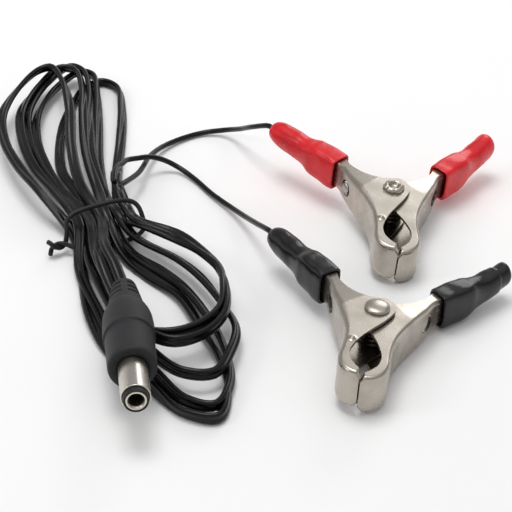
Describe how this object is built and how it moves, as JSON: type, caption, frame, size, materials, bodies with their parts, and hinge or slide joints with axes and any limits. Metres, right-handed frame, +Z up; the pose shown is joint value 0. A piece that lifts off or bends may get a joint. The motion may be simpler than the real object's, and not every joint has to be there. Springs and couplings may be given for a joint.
{
  "type": "battery clamp lead",
  "caption": "Low-voltage battery lead: DC barrel plug, thin twin cord in a tied hank, and red and black spring clamps.",
  "frame": {"origin": "on the surface the lead lies on, under the middle of the box round the two clamps", "axes": "+Z up; the clamps' noses point along -Y, the red clamp behind the black one; the hank and the plug lie on the -X side"},
  "size_m": [0.1115, 0.1324, 0.0141],
  "materials": {
    "nickel_plate": "bright nickel plate on stamped steel, fine drawing marks, dulled inside",
    "spring_steel": "dark oiled spring wire",
    "barrel_nickel": "bright nickel-plated brass",
    "solder": "dull tin solder",
    "red_vinyl": "dipped red vinyl, satin gloss",
    "black_vinyl": "dipped black vinyl, satin gloss",
    "plug_vinyl": "moulded black vinyl, fine matt grain",
    "cord_vinyl": "extruded black vinyl, soft sheen",
    "insulator": "black moulded plastic",
    "tie_vinyl": "black plastic over wire"
  },
  "bodies": {
    "lead": {"red_wire_side_lever": "nickel_plate", "red_torsion_spring": "spring_steel", "red_rivet": "nickel_plate", "red_wire_side_sleeve": "red_vinyl", "red_solder_joint": "solder", "black_wire_side_lever": "nickel_plate", "black_torsion_spring": "spring_steel", "black_rivet": "nickel_plate", "black_wire_side_sleeve": "black_vinyl", "black_solder_joint": "solder", "plug_body": "plug_vinyl", "plug_outer_contact": "barrel_nickel", "plug_insulator": "insulator", "plug_inner_contact": "barrel_nickel", "plug_core_positive": "cord_vinyl", "plug_core_negative": "cord_vinyl", "cord_hank": "cord_vinyl", "red_lead": "cord_vinyl", "black_lead": "cord_vinyl", "hank_tie": "tie_vinyl"},
    "red_jaw": {"red_moving_lever": "nickel_plate", "red_moving_sleeve": "red_vinyl"},
    "black_jaw": {"black_moving_lever": "nickel_plate", "black_moving_sleeve": "black_vinyl"}
  },
  "joints": [
    {"name": "red_clamp_hinge", "type": "hinge", "parent": "lead", "child": "red_jaw", "pos_m": [0.0007, 0.01844, 0.00637], "axis": [0.0866, -0.0788, 0.9931], "range_deg": [0, 50], "stiffness_Nm_per_rad": 0.03, "springref_deg": -40.11, "deforming": ["red_torsion_spring"]},
    {"name": "black_clamp_hinge", "type": "hinge", "parent": "lead", "child": "black_jaw", "pos_m": [-0.00503, -0.02346, 0.00564], "axis": [0.0597, -0.0127, 0.9981], "range_deg": [0, 28], "stiffness_Nm_per_rad": 0.03, "springref_deg": -40.11, "deforming": ["black_torsion_spring"]}
  ]
}
